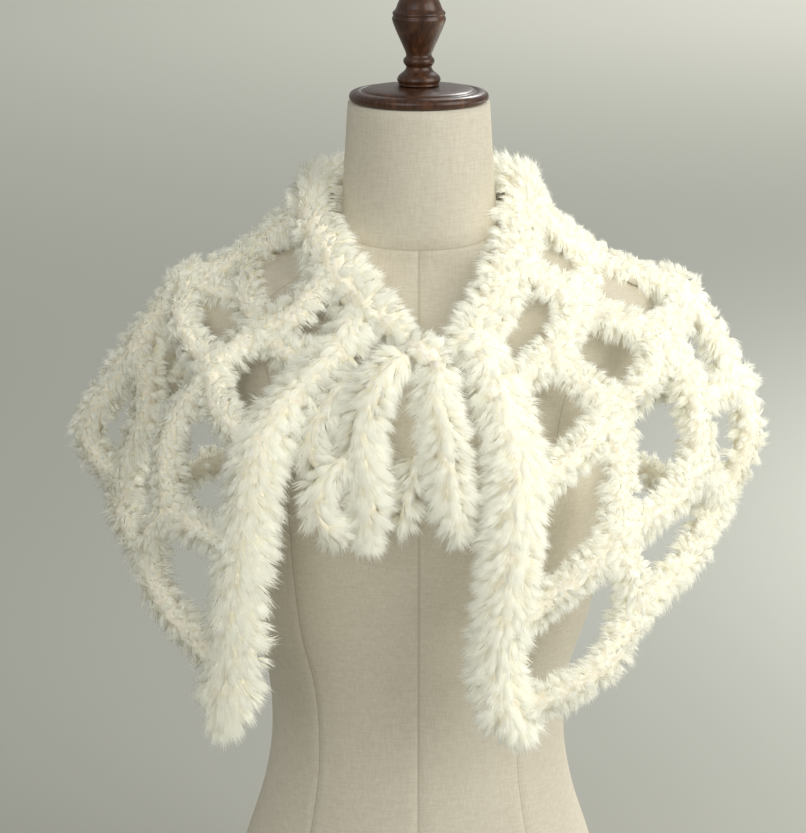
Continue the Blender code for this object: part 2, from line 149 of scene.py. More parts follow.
COLLAR_ROUTE = (
    # across, depth, height, radius
    (-10.0, -97.0, 548.0, 13.0),
    (-26.0, -90.0, 558.0, 19.0),
    (-43.0, -80.0, 571.0, 22.0),
    (-61.0, -68.0, 592.0, 22.0),
    (-73.0, -45.0, 613.0, 22.0),
    (-79.0, -12.0, 629.0, 22.0),
    (-74.0, 30.0, 636.0, 22.0),
    (-48.0, 66.0, 634.0, 22.0),
    (0.0, 82.0, 631.0, 23.0),
    (48.0, 66.0, 634.0, 22.0),
    (73.0, 30.0, 637.0, 22.0),
    (76.0, -10.0, 631.0, 22.0),
    (71.0, -42.0, 609.0, 22.0),
    (61.0, -66.0, 584.0, 22.0),
    (49.0, -82.0, 560.0, 22.0),
    (35.0, -94.0, 545.0, 19.0),
    (21.0, -98.0, 537.0, 13.0),
)
BAND_LEFT_ROUTE = (
    # across, depth, height, radius
    (-43.0, -82.0, 565.0, 19.0),
    (-55.0, -98.0, 542.0, 22.0),
    (-73.0, -114.0, 522.0, 23.0),
    (-96.0, -131.0, 500.0, 24.0),
    (-113.0, -142.0, 475.0, 25.0),
    (-119.0, -148.0, 440.0, 25.0),
    (-125.0, -150.0, 403.0, 25.0),
    (-131.0, -148.0, 364.0, 25.0),
    (-133.0, -144.0, 324.0, 26.0),
    (-139.0, -141.0, 287.0, 27.0),
    (-142.0, -140.0, 265.0, 14.0),
)
BAND_RIGHT_ROUTE = (
    # across, depth, height, radius
    (42.0, -88.0, 552.0, 18.0),
    (47.0, -106.0, 529.0, 22.0),
    (60.0, -128.0, 499.0, 24.0),
    (68.0, -142.0, 470.0, 26.0),
    (68.0, -148.0, 435.0, 26.0),
    (65.0, -150.0, 400.0, 26.0),
    (62.0, -149.0, 370.0, 26.0),
    (58.0, -147.0, 338.0, 25.0),
    (56.0, -144.0, 306.0, 24.0),
    (65.0, -141.0, 274.0, 24.0),
    (76.0, -140.0, 260.0, 14.0),
)
BORDER_ROUTES = {
    "collar": COLLAR_ROUTE,
    "left_band": BAND_LEFT_ROUTE,
    "right_band": BAND_RIGHT_ROUTE,
}

KNOT_ROUTE = (
    # across, depth, height, radius
    (-10.0, -124.0, 548.0, 10.0),
    (-3.0, -127.0, 545.0, 17.0),
    (6.0, -128.0, 540.0, 17.0),
    (13.0, -125.0, 536.0, 10.0),
)
TIE_ROUTES = {
    "tie_left": (
        (-10.0, -136.0, 541.0, 12.0),
        (-24.0, -143.0, 533.0, 18.0),
        (-35.0, -147.0, 514.0, 21.0),
        (-42.0, -149.0, 487.0, 21.0),
        (-38.0, -150.0, 459.0, 20.0),
        (-37.0, -150.0, 432.0, 18.0),
        (-38.0, -148.0, 408.0, 8.0),
    ),
    "tie_left_curl": (
        (-52.0, -155.0, 471.0, 8.0),
        (-65.0, -156.0, 462.0, 12.0),
        (-73.0, -156.0, 443.0, 13.0),
        (-69.0, -154.0, 424.0, 13.0),
        (-57.0, -152.0, 415.0, 7.0),
    ),
    "tie_right": (
        (13.0, -138.0, 538.0, 12.0),
        (11.0, -146.0, 517.0, 18.0),
        (17.0, -150.0, 490.0, 21.0),
        (20.0, -151.0, 461.0, 21.0),
        (24.0, -151.0, 436.0, 18.0),
        (28.0, -149.0, 415.0, 8.0),
    ),
    "tie_right_short": (
        (-1.0, -136.0, 468.0, 8.0),
        (-4.0, -138.0, 456.0, 11.0),
        (-8.0, -141.0, 440.0, 12.0),
        (-11.0, -142.0, 422.0, 6.0),
    ),
    "tie_loop": (
        (-42.0, -130.0, 525.0, 10.0),
        (-54.0, -133.0, 519.0, 13.0),
        (-66.0, -138.0, 506.0, 14.0),
        (-77.0, -142.0, 487.0, 14.0),
        (-74.0, -144.0, 468.0, 12.0),
        (-62.0, -145.0, 460.0, 7.0),
    ),
}
# Diameter of the bare yarn inside each tie's fur.
TIE_CORES = {
    "tie_left": 12.0,
    "tie_left_curl": 9.0,
    "tie_right": 12.0,
    "tie_right_short": 7.0,
    "tie_loop": 10.0,
}

# The net's knots in front. Others lie on a border and are named by it and a row of its route.
NET_KNOTS = {
    # name: across, depth, height
    "right_top": (121.0, -8.0, 591.0),
    "right_upper": (115.0, -60.0, 564.0),
    "right_corner": (198.0, -10.0, 564.0),
    "right_hub": (177.0, -66.0, 540.0),
    "right_fork": (94.0, -98.0, 535.0),
    "right_inner": (142.0, -104.0, 495.0),
    "right_side_inner": (203.0, -58.0, 495.0),
    "right_side": (243.0, -2.0, 490.0),
    "right_side_low": (208.0, -62.0, 443.0),
    "right_inner_low": (143.0, -126.0, 403.0),
    "right_side_join": (230.0, -8.0, 398.0),
    "right_hem": (160.0, -112.0, 346.0),
    "left_top": (-125.0, -8.0, 588.0),
    "left_corner": (-174.0, -10.0, 571.0),
    "left_hub": (-115.0, -76.0, 549.0),
    "left_fork": (-150.0, -92.0, 523.0),
    "left_side": (-209.0, -26.0, 525.0),
    "left_lobe": (-254.0, -2.0, 452.0),
    "left_side_join": (-226.0, -20.0, 417.0),
    "left_inner_low": (-181.0, -110.0, 421.0),
    "left_hem": (-201.0, -90.0, 383.0),
}
# The middles of the strands that bend. The others run almost straight from knot to knot.
BENT_STRANDS = {
    # knots at its ends: across, depth, height of its middle
    ("right_hub", "right_inner"): (167.0, -92.0, 517.0),
    ("right_side_low", "right_inner_low"): (182.0, -104.0, 424.0),
    ("right_side", "right_side_join"): (253.0, -2.0, 447.0),
    ("right_side_join", "right_hem"): (200.0, -64.0, 366.0),
    ("right_hem", "right_band 9"): (128.0, -134.0, 302.0),
    ("right_band 0", "collar 12.5"): (56.0, -75.0, 571.0),
    ("left_top", "left_hub"): (-126.0, -50.0, 567.0),
    ("left_hub", "collar 3"): (-92.0, -84.0, 560.0),
    ("left_hub", "left_band 1.5"): (-93.0, -96.0, 534.0),
    ("left_corner", "left_fork"): (-172.0, -62.0, 546.0),
    ("left_fork", "left_band 4"): (-143.0, -118.0, 498.0),
    ("left_fork", "left_inner_low"): (-182.0, -98.0, 470.0),
    ("left_side", "left_side_join"): (-205.0, -34.0, 479.0),
    ("left_side_join", "left_hem"): (-220.0, -58.0, 401.0),
    ("left_hem", "left_band 8.5"): (-186.0, -118.0, 352.0),
    ("left_inner_low", "left_band 6"): (-162.0, -128.0, 414.0),
}
# The net's gaps in front, each by the knots round it.
FRONT_GAPS = (
    ("collar 11", "right_top", "right_upper", "collar 12.5"),
    ("collar 12.5", "right_upper", "right_fork", "right_band 1.5", "right_band 0"),
    ("right_top", "right_corner", "right_hub", "right_upper"),
    ("right_upper", "right_hub", "right_inner", "right_fork"),
    ("right_fork", "right_inner", "right_band 4", "right_band 3", "right_band 1.5"),
    ("right_corner", "right_side", "right_side_inner", "right_hub"),
    ("right_hub", "right_side_inner", "right_side_low", "right_inner_low", "right_inner"),
    ("right_side", "right_side_join", "right_side_low", "right_side_inner"),
    ("right_inner", "right_inner_low", "right_band 7", "right_band 5.5", "right_band 4"),
    ("right_side_low", "right_side_join", "right_hem", "right_inner_low"),
    ("right_inner_low", "right_hem", "right_band 9", "right_band 8", "right_band 7"),
    ("collar 5", "left_top", "left_hub", "collar 3"),
    ("left_top", "left_corner", "left_fork", "left_hub"),
    ("collar 3", "left_hub", "left_band 1.5", "collar 2"),
    ("left_hub", "left_fork", "left_band 4", "left_band 3", "left_band 1.5"),
    ("left_corner", "left_side", "left_side_join", "left_hem", "left_inner_low", "left_fork"),
    ("left_side", "left_lobe", "left_side_join"),
    ("left_fork", "left_inner_low", "left_band 6", "left_band 5", "left_band 4"),
    ("left_inner_low", "left_hem", "left_band 8.5", "left_band 7", "left_band 6"),
)

# Behind the form the rounds go on from side to side, below the collar's own.
BACK_ROUNDS = (
    # right end, left end, reach to the right, to the left, backward, height at the sides, at the middle
    ("right_top", "left_top", 121.0, 125.0, 94.0, 590.0, 601.0),
    ("right_corner", "left_corner", 194.0, 176.0, 110.0, 562.0, 546.0),
    ("right_side", "left_side", 244.0, 244.0, 117.0, 470.0, 480.0),
    ("right_side_join", "left_side_join", 252.0, 246.0, 121.0, 382.0, 412.0),
)
BACK_COLLAR_ENDS = ("collar 11", "collar 5")
BACK_COLLAR_SHARE = 0.85
BACK_STRANDS = 5
BACK_ZIGZAG = 11.0
BACK_UNEVENNESS = 5.0
BACK_SEED = 11
# The lobe at the left side belongs to the gap between the last two rounds behind.
SIDE_LOBE = {"left_side_join": ("left_lobe",)}
STRAND_SAG = 2.0
STRAND_BOW = 4.0
SIDE_SEAM_DEPTH = 24.0
# One thinner strand crosses the wedge on the left shoulder.
SHOULDER_STRAND = (
    # across, depth, height, radius
    (-174.0, -10.0, 571.0, 10.0),
    (-150.0, -36.0, 568.0, 10.0),
    (-126.0, -50.0, 567.0, 10.0),
)
NET_RADIUS = 15.5
KNOT_THICKENING = 0.14
KNOT_REACH = 15.0
KNOT_LARGEST_SHARE = 0.4
SHORTEST_STRAND = 4
STRAND_SPACING = 2.5
STRAND_FEWEST_STEPS = 4
OUTWARD_RISE = 0.25

# The yarn's pile. Every tuft is a rounded bundle of fibres, and the tufts lie in rows round the yarn.
PILES = {
    # piece: length, pitch of the tufts, fibres in a tuft, fibre width, tuft width, spread of its tip,
    # comb along the yarn, droop
    "net_front": (12.0, 6.8, 28, 0.66, 6.8, 0.80, 0.10, 0.30),
    "net_back": (12.0, 8.6, 26, 0.95, 7.8, 0.80, 0.10, 0.30),
    "collar": (14.0, 7.2, 42, 0.60, 6.6, 1.00, 0.00, 0.30),
    "front_band": (17.5, 7.8, 46, 0.62, 7.4, 1.05, 0.40, 0.25),
    "tie": (17.0, 7.4, 46, 0.60, 7.0, 1.25, 0.45, 0.20),
}
# The yarn's body under the pile, as a share of the strand's radius.
CORE_SHARE = 0.52
CORE_LUMPS = 0.10
CORE_LARGEST_LUMP = 1.5
CORE_END_REACH = 0.35
CORE_FEWEST_RINGS = 4

# Where the tufts stand round a strand. At a free end they sweep past it.
TUFT_JITTER = 0.4
TUFTS_AROUND_LEAST = 6
INNER_SIDE_FROM = -0.25
INNER_SIDE_SHARE = 0.45
COMB_UNEVENNESS = 0.5
END_SWEEP = 2.0
END_SWEEP_REACH = 1.1
WAVE_LENGTH = 14.0
WAVE_SWING = 0.30

# How the tufts lean: angles in degrees, from the strand's outer middle line to its sides.
MIDDLE_LINE = 0.4
MIDDLE_SWING = 68.0
MIDDLE_REACH = 0.6
COMBED_FROM = 0.2
SWING_UNEVENNESS = 20.0
OUTER_TILT = 54.0
OUTER_TILT_FALL = 31.0
OUTER_TILT_POWER = 1.3
INNER_TILT = 26.0
TILT_UNEVENNESS = 7.0
HEADING_DROOP = 0.5
TUFT_SIZES = (0.84, 1.12)
SMALLEST_DEPTH = 0.35
ROOTED_LENGTH = 0.74
DEPTH_UNEVENNESS = 0.9

# How the fibres lie in a tuft.
FAN_REACH = 1.75
SHELL_RISE = 0.75
EDGE_SHORTENING = 0.20
FIBRE_LENGTHS = (0.84, 1.07)
BEND_WITH_LEAN = 0.14
BEND_DOWN = 0.10
BEND_DROOP = 0.14
BEND_SHARE = 0.4
STRAY = 0.09
STRAY_AT_MIDDLE = 0.3
ROOT_SPREAD = 0.5
MIDDLE_PLACE = 0.56
ROLL_UNEVENNESS = 22.0

# How much of a fibre's shading follows the yarn, the strand's outer side, the tuft and the fibre.
LIT_YARN = 0.42
LIT_OUTWARD = 0.45
LIT_TUFT = 0.38
LIT_ROLL = 0.15
LIT_TIP_TUFT = 0.25
LIT_TIP_HEAD = 0.35

# The colours go from a painted shade at the root, where the pile shades itself, to the pale tip, and each
# fibre has one of some steps of shade: painted shade at a tuft's edges mixed with tone that differs at
# random.
PAINTED_ROOT_SHADE = (0.90, 0.88, 0.75)
TIP_TINT = (0.982, 0.992, 0.965)
DARKEST_PAINTED_SHADE_AND_TONE = (0.93, 0.92, 0.88)
TINT_SHARES = (0.0, 0.72, 0.72, 1.0)
SHADE_OF_LIFT = 0.45
SHADE_OF_TUFT = 0.25
SHADE_OF_FIBRE = 0.30
TINT_STEPS = 24
LARGEST_SHADE = 0.999
STEP_MARGIN = 0.15
PLACES_ALONG = (0.02, 0.6, 0.6, 0.98)
FUR_SEED = 5


def link(thing):
    """Put an object into the scene and return it."""
    bpy.context.scene.collection.objects.link(thing)
    return thing


def slope_at(rows, index, column):
    """Return a column's slope at a row, from the rows on both sides of it."""
    before = rows[max(index - 1, 0)]
    after = rows[min(index + 1, len(rows) - 1)]
    return (after[column] - before[column]) / (after[0] - before[0])


def smooth_row(rows, place):
    """Return a table's columns at a place in its first column, on a smooth curve through the rows."""
    places = [row[0] for row in rows]
    index = min(max(bisect_right(places, place) - 1, 0), len(rows) - 2)
    low = rows[index]
    high = rows[index + 1]
    span = high[0] - low[0]
    step = (place - low[0]) / span
    columns = []
    for column in range(1, len(low)):
        rise = 3.0 * step ** 2 - 2.0 * step ** 3
        start_pull = span * slope_at(rows, index, column) * step * (1.0 - step) ** 2
        end_pull = span * slope_at(rows, index + 1, column) * step ** 2 * (1.0 - step)
        columns.append(low[column] + (high[column] - low[column]) * rise + start_pull - end_pull)
    return columns


def smooth_route(route):
    """Return evenly spaced points, each with its radius, on a smooth curve through a route's rows."""
    stations = [0.0]
    for before, after in zip(route, route[1:]):
        stations.append(stations[-1] + math.dist(before[:3], after[:3]))
    rows = [(station, *row) for station, row in zip(stations, route)]
    count = max(round(stations[-1] / STRAND_SPACING), STRAND_FEWEST_STEPS)
    return np.array([smooth_row(rows, stations[-1] * index / count) for index in range(count + 1)])


def unit(vectors):
    """Return vectors made one long."""
    return vectors / np.maximum(np.linalg.norm(vectors, axis=-1, keepdims=True), 1e-12)


def mesh_object(name, points, faces, material, smooth=True):
    """Return a mesh object from arrays of points in metres and of faces with as many corners each."""
    mesh = bpy.data.meshes.new(name)
    faces = np.asarray(faces, np.int32)
    count, corners = faces.shape
    mesh.vertices.add(len(points))
    mesh.vertices.foreach_set("co", np.asarray(points, np.float32).ravel())
    mesh.loops.add(count * corners)
    mesh.loops.foreach_set("vertex_index", faces.ravel())
    mesh.polygons.add(count)
    mesh.polygons.foreach_set("loop_start", np.arange(0, count * corners, corners, dtype=np.int32))
    mesh.polygons.foreach_set("use_smooth", np.full(count, smooth))
    mesh.update(calc_edges=True)
    mesh.materials.append(material)
    return link(bpy.data.objects.new(name, mesh))


def tube_faces(rings, sides, flipped=False):
    """Return a closed tube's triangles: its wall, and a fan at each end round one of two last points."""
    index = np.arange(rings * sides).reshape(rings, sides)
    turned = np.roll(index, -1, axis=1)
    quads = np.stack([index[:-1], turned[:-1], turned[1:], index[1:]], axis=-1).reshape(-1, 4)
    end = np.full(sides, rings * sides)
    faces = np.concatenate([
        quads[:, [0, 1, 2]],
        quads[:, [0, 2, 3]],
        np.stack([turned[0], index[0], end], axis=1),
        np.stack([index[-1], turned[-1], end + 1], axis=1),
    ])
    return faces[:, ::-1] if flipped else faces


class Strand:
    """A furry strand: its middle line, its radius, and the way its outer side faces."""

    def __init__(self, route, free_ends=(False, False)):
        samples = smooth_route(route)
        self.centres = samples[:, :3]
        self.radii = samples[:, 3]
        self.free_ends = free_ends
        steps = np.linalg.norm(np.diff(self.centres, axis=0), axis=1)
        self.places = np.concatenate([[0.0], np.cumsum(steps)])
        self.length = self.places[-1]
        self.along = unit(np.gradient(self.centres, axis=0))
        outward = self.centres * (1.0, 1.0, 0.0)
        outward[:, 2] = OUTWARD_RISE * np.linalg.norm(outward, axis=1)
        outward -= self.along * (outward * self.along).sum(1, keepdims=True)
        self.outward = unit(outward)
        self.sideways = np.cross(self.along, self.outward)

    def at(self, table, places):
        """Return a table of the strand's own, one row for each place along it."""
        if table.ndim == 1:
            return np.interp(places, self.places, table)
        return np.stack([np.interp(places, self.places, column) for column in table.T], axis=1)


def border_point(route, row):
    """Return the point on a border's middle line at a row of its route, or between two rows."""
    rows = [(index, *point) for index, point in enumerate(route)]
    return np.array(smooth_row(rows, row)[:3])


def border_place(name):
    """Return the border and the row that a knot's name gives, or None for a knot between borders."""
    border, found, row = name.partition(" ")
    return (border, float(row)) if found else None


def net_knot(name):
    """Return a front knot's place from its name."""
    place = border_place(name)
    if place is None:
        return np.array(NET_KNOTS[name])
    return border_point(BORDER_ROUTES[place[0]], place[1])


def back_knot(strand, ring, uneven):
    """Return the place of the knot where a strand behind the form meets a round."""
    across = strand / (BACK_STRANDS + 1) - 0.5
    if ring == 0:
        first_row, last_row = [border_place(name)[1] for name in BACK_COLLAR_ENDS]
        row = (first_row + last_row) / 2.0 + (last_row - first_row) * across * BACK_COLLAR_SHARE
        return border_point(COLLAR_ROUTE, row)
    _, _, right_reach, left_reach, depth, side_height, height = BACK_ROUNDS[ring - 1]
    turn = math.pi * (across + 0.5)
    behind = math.sin(turn) ** 2
    zigzag = BACK_ZIGZAG * (-1) ** (strand + ring)
    return np.array((
        math.cos(turn) * (right_reach if across < 0.0 else left_reach),
        math.sin(turn) * depth + uneven.uniform(-BACK_UNEVENNESS, BACK_UNEVENNESS),
        side_height + (height - side_height + zigzag) * behind,
    ))


def net_knots():
    """Return the places of all the net's knots by name, and the rounds behind as lists of names."""
    uneven = random.Random(BACK_SEED)
    places = {name: net_knot(name) for gap in FRONT_GAPS for name in gap}
    rounds = []
    for ring, ends in enumerate((BACK_COLLAR_ENDS, *BACK_ROUNDS)):
        behind = [f"back_{ring}_{strand}" for strand in range(1, BACK_STRANDS + 1)]
        for strand, name in enumerate(behind, 1):
            places[name] = back_knot(strand, ring, uneven)
        rounds.append([ends[0], *behind, ends[1]])
    return places, rounds


def net_gaps(rounds):
    """Return all the net's gaps, each as the names of the knots round it."""
    gaps = list(FRONT_GAPS)
    for upper, lower in zip(rounds, rounds[1:]):
        for column in range(BACK_STRANDS + 1):
            lobe = SIDE_LOBE.get(lower[column + 1], ())
            gaps.append((*upper[column:column + 2], *lobe, lower[column + 1], lower[column]))
    return gaps


def net_routes():
    """Return the route of each stretch of the net between two knots."""
    places, rounds = net_knots()
    on_borders = {name for name in places if border_place(name)} | set(rounds[0])
    done = set()
    routes = [SHOULDER_STRAND]
    for gap in net_gaps(rounds):
        for first, second in zip(gap, gap[1:] + gap[:1]):
            pair = frozenset((first, second))
            if pair in done or pair <= on_borders:
                continue
            done.add(pair)
            bend = BENT_STRANDS.get((first, second)) or BENT_STRANDS.get((second, first))
            centre = (places[first] + places[second]) / 2.0
            sag = np.array((0.0, 0.0, STRAND_SAG))
            middle = bend or centre + unit(centre * (1.0, 1.0, 0.0)) * STRAND_BOW - sag
            routes.append([(*point, NET_RADIUS) for point in (places[first], middle, places[second])])
    return routes


def split_route(route):
    """Return the parts of a sampled stretch before and behind the side seam."""
    samples = smooth_route(route)
    place = np.linspace(0.0, 1.0, len(samples))
    reach = min(KNOT_REACH / (len(samples) * STRAND_SPACING), KNOT_LARGEST_SHARE)
    swell = np.exp(-(place / reach) ** 2) + np.exp(-((1.0 - place) / reach) ** 2)
    samples[:, 3] *= 1.0 + KNOT_THICKENING * swell
    behind = samples[:, 1] > SIDE_SEAM_DEPTH
    parts = {"front": [], "back": []}
    for side, chosen in (("front", ~behind), ("back", behind)):
        index = np.flatnonzero(chosen)
        if len(index) > SHORTEST_STRAND:
            breaks = np.flatnonzero(np.diff(index) > 1) + 1
            parts[side] = [samples[run] for run in np.split(index, breaks)]
    return parts


def net_strands():
    """Return the strands of each panel of the net."""
    panels = {"net_front_right": [], "net_front_left": [], "net_back": []}
    for route in net_routes():
        for side, runs in split_route(route).items():
            for run in runs:
                if len(run) < SHORTEST_STRAND:
                    continue
                name = "net_back"
                if side == "front":
                    name = "net_front_right" if run[:, 0].mean() > 0.0 else "net_front_left"
                panels[name].append(Strand([tuple(row) for row in run]))
    return panels


def core_mesh(name, strands, share, material, sides=10, spacing=4.0, radius=None):
    """Return the yarn's own body inside the fur: a closed lumpy tube in each strand, or an even one."""
    uneven = np.random.default_rng(FUR_SEED)
    turn = np.linspace(0.0, math.tau, sides, endpoint=False)
    roughness = CORE_LUMPS if radius is None else 0.0
    points = []
    faces = []
    used = 0
    for strand in strands:
        rings = max(int(strand.length / spacing), CORE_FEWEST_RINGS) + 1
        places = np.linspace(0.0, strand.length, rings)
        centre = strand.at(strand.centres, places)
        outward = strand.at(strand.outward, places)
        sideways = strand.at(strand.sideways, places)
        along = strand.at(strand.along, places)
        size = strand.at(strand.radii, places) * share if radius is None else np.full(rings, radius)
        unevenness = uneven.standard_normal((rings, sides)).clip(-CORE_LARGEST_LUMP, CORE_LARGEST_LUMP)
        lumps = 1.0 + roughness * unevenness
        rim = np.cos(turn)[:, None] * outward[:, None] + np.sin(turn)[:, None] * sideways[:, None]
        wall = centre[:, None] + rim * (size[:, None] * lumps)[..., None]
        start = centre[:1] - along[:1] * size[0] * CORE_END_REACH
        end = centre[-1:] + along[-1:] * size[-1] * CORE_END_REACH
        points.append(np.concatenate([wall.reshape(-1, 3), start, end]))
        faces.append(tube_faces(rings, sides) + used)
        used += len(points[-1])
    return mesh_object(name, np.concatenate(points) * MM, np.concatenate(faces), material)


def place_tufts(strand, pitch, comb, dice):
    """Return where a strand's tufts stand: their middles, frames, radii, turns and sweeps along it."""
    rows = max(round(strand.length / pitch), 1)
    around = max(round(math.tau * strand.radii.mean() / pitch), TUFTS_AROUND_LEAST)
    row, column = np.meshgrid(np.arange(rows), np.arange(around), indexing="ij")
    row = row.ravel()
    column = column.ravel()
    places = (row + 0.5 + dice.uniform(-TUFT_JITTER, TUFT_JITTER, row.size)) * strand.length / rows
    turn = column + 0.5 * (row % 2) + dice.uniform(-TUFT_JITTER, TUFT_JITTER, row.size)
    turn = turn * math.tau / around
    turn = (turn + math.pi) % math.tau - math.pi
    kept = (np.cos(turn) > INNER_SIDE_FROM) | (dice.uniform(0.0, 1.0, row.size) < INNER_SIDE_SHARE)
    places = places[kept]
    turn = turn[kept]
    radius = strand.at(strand.radii, places)
    sweep = comb * (1.0 + COMB_UNEVENNESS * dice.standard_normal(len(places)))
    reach = radius * END_SWEEP_REACH
    if strand.free_ends[0]:
        sweep -= END_SWEEP * np.clip(1.0 - places / reach, 0.0, 1.0)
    if strand.free_ends[1]:
        sweep += END_SWEEP * np.clip(1.0 - (strand.length - places) / reach, 0.0, 1.0)
    wave = np.sin(places / WAVE_LENGTH + dice.uniform(0.0, math.tau)) * WAVE_SWING
    return (
        strand.at(strand.centres, places),
        unit(strand.at(strand.along, places)),
        unit(strand.at(strand.outward, places)),
        unit(strand.at(strand.sideways, places)),
        radius[:, None],
        turn[:, None],
        sweep[:, None],
        wave[:, None],
    )


def tufts_of_fibres(strands, dice, pile):
    """Return the points, faces, normals and brightness of the tufts of fibres that stand round some
    strands; the brightness is painted shade at a tuft's edges plus tone that differs at random.
    """
    pile_length, pitch, count, width, tuft_width, spread, comb, droop = pile
    tufts = [place_tufts(strand, pitch, comb, dice) for strand in strands]
    centre, along, outward, sideways, radius, turn, sweep, wave = (
        np.concatenate(part) for part in zip(*tufts)
    )
    number = len(centre)
    down = np.array((0.0, 0.0, -1.0))

    # At its strand's outer middle line a tuft lies along it, and at the sides it leans away from it.
    normal = np.cos(turn) * outward + np.sin(turn) * sideways
    around = -np.sin(turn) * outward + np.cos(turn) * sideways
    away = np.where(np.abs(turn) < MIDDLE_LINE, dice.choice([-1.0, 1.0], (number, 1)), np.sign(turn))
    flow = 1.0 if comb > COMBED_FROM else dice.choice([-1.0, 1.0], (number, 1))
    swing = flow * MIDDLE_SWING * np.exp(-(turn / MIDDLE_REACH) ** 2)
    swing = wave + np.radians(swing + dice.normal(0.0, SWING_UNEVENNESS, (number, 1)))
    lean = np.cos(swing) * away * around + np.sin(swing) * along + droop * down
    lean = unit(lean - normal * (lean * normal).sum(1, keepdims=True))
    outer_tilt = OUTER_TILT - OUTER_TILT_FALL * np.abs(np.sin(turn)) ** OUTER_TILT_POWER
    tilt = np.radians(np.where(np.cos(turn) > 0.0, outer_tilt, INNER_TILT))
    tilt = tilt + np.radians(dice.normal(0.0, TILT_UNEVENNESS, (number, 1)))
    heading = np.cos(tilt) * normal + np.sin(tilt) * lean + sweep * along + HEADING_DROOP * droop * down
    heading = unit(heading)
    across = unit(np.cross(heading, normal) + 1e-6)
    rise = unit(np.cross(across, heading))
    size = dice.uniform(*TUFT_SIZES, (number, 1))
    depth = np.maximum(radius * SMALLEST_DEPTH, radius - pile_length * ROOTED_LENGTH)
    depth = depth + dice.normal(0.0, DEPTH_UNEVENNESS, (number, 1))

    # Its fibres lie round it like the outside of a bud, shorter at its edges.
    angle = dice.uniform(-FAN_REACH, FAN_REACH, (number, count, 1))
    fan = np.sin(angle)
    lift = np.cos(angle)
    half_width = tuft_width / 2.0 * size[:, None]
    side = fan * across[:, None] + lift * rise[:, None]
    shell = fan * across[:, None] + SHELL_RISE * lift * rise[:, None]
    length = pile_length * size[:, None] * (1.0 - EDGE_SHORTENING * fan ** 2)
    length = length * dice.uniform(*FIBRE_LENGTHS, fan.shape)
    base = centre[:, None] + normal[:, None] * depth[:, None]
    head = heading[:, None]
    bend = BEND_WITH_LEAN * lean[:, None] + (BEND_DOWN + BEND_DROOP * droop) * down
    stray = dice.normal(0.0, STRAY, (number, count, 3)) * length
    root = base + shell * half_width * ROOT_SPREAD
    middle = base + (head - BEND_SHARE * bend) * length * MIDDLE_PLACE
    middle = middle + shell * half_width + STRAY_AT_MIDDLE * stray
    tip = base + (head + BEND_SHARE * bend) * length + shell * half_width * spread + stray
    direction = unit(tip - root)
    roll = np.radians(dice.normal(0.0, ROLL_UNEVENNESS, fan.shape))
    flat = unit(np.cross(direction, side) + 1e-6)
    edge = np.cos(roll) * flat + np.sin(roll) * side
    half = edge * width / 2.0

    # The pile is lit as soft round bundles on a soft round body.
    round_yarn = middle - centre[:, None]
    round_yarn = unit(round_yarn - along[:, None] * (round_yarn * along[:, None]).sum(-1, keepdims=True))
    body = LIT_YARN * round_yarn + LIT_OUTWARD * outward[:, None]
    lit = unit(LIT_TUFT * side + body + LIT_ROLL * edge * np.sin(roll))
    lit_tip = unit(LIT_TIP_TUFT * side + LIT_TIP_HEAD * head + body)
    facing = (np.cross(edge, direction) * lit).sum(-1, keepdims=True) > 0.0
    half = np.where(facing, half, -half)
    points = np.stack([root, middle + half, middle - half, tip], axis=2).reshape(-1, 3)
    first = np.arange(number * count)[:, None] * 4
    faces = np.concatenate([first + (0, 1, 2), first + (2, 1, 3)])
    normals = np.stack([lit, lit, lit, lit_tip], axis=2).reshape(-1, 3)
    # Painted shade: fibres at a tuft's edges, where tufts crowd and shade each other, are darker; the
    # shares by tuft and by fibre are tone that differs at random.
    painted_shade_and_tone = SHADE_OF_LIFT * np.clip(lift, 0.0, 1.0)
    painted_shade_and_tone = painted_shade_and_tone + SHADE_OF_TUFT * dice.uniform(0.0, 1.0, (number, 1, 1))
    painted_shade_and_tone = painted_shade_and_tone + SHADE_OF_FIBRE * dice.uniform(0.0, 1.0, fan.shape)
    return points, faces, normals, painted_shade_and_tone.ravel()


def fur_object(name, strands, material, pile):
    """Return the fur round some strands, with a colour for each corner that goes from a painted shade at
    the root to the pale tip.
    """
    dice = np.random.default_rng([FUR_SEED, *name.encode()])
    points, faces, normals, painted_shades_and_tones = tufts_of_fibres(strands, dice, pile)
    thing = mesh_object(name, points * MM, faces, material)
    thing.data.normals_split_custom_set_from_vertices(normals.astype(np.float32))
    # Low steps, painted shade at the tufts' edges mixed with random tone, darken a fibre's colours.
    step = np.floor(np.clip(painted_shades_and_tones, 0.0, LARGEST_SHADE) * TINT_STEPS) / TINT_STEPS
    tone = np.array(DARKEST_PAINTED_SHADE_AND_TONE) + (1.0 - np.array(DARKEST_PAINTED_SHADE_AND_TONE)) * step[:, None]
    # Painted shade: the roots are darker and warmer than the tips, as where the pile shades itself near the
    # yarn.
    mix = np.array(PAINTED_ROOT_SHADE) + (np.array(TIP_TINT) - PAINTED_ROOT_SHADE) * np.array(TINT_SHARES)[:, None]
    colours = np.ones((len(points), 4), np.float32)
    colours[:, :3] = (mix[None] * tone[:, None]).reshape(-1, 3)
    layer = thing.data.color_attributes.new("shade_and_tone", "FLOAT_COLOR", "POINT")
    layer.data.foreach_set("color", colours.ravel())
    uv = thing.data.uv_layers.new(name="OFBake")
    left = (step + STEP_MARGIN / TINT_STEPS)[:, None]
    right = (step + (1.0 - STEP_MARGIN) / TINT_STEPS)[:, None]
    middle = (left + right) / 2.0
    across = np.concatenate([middle, left, right, middle], axis=1)
    along = np.tile(PLACES_ALONG, (len(step), 1))
    place = np.stack([across, along], axis=-1).reshape(-1, 2)
    uv.data.foreach_set("uv", place[faces.ravel()].astype(np.float32).ravel())
    return thing


def rounded(value, power):
    """Return signed powers of sines or cosines, which square an ellipse's corners a little."""
    return np.sign(value) * np.abs(value) ** power


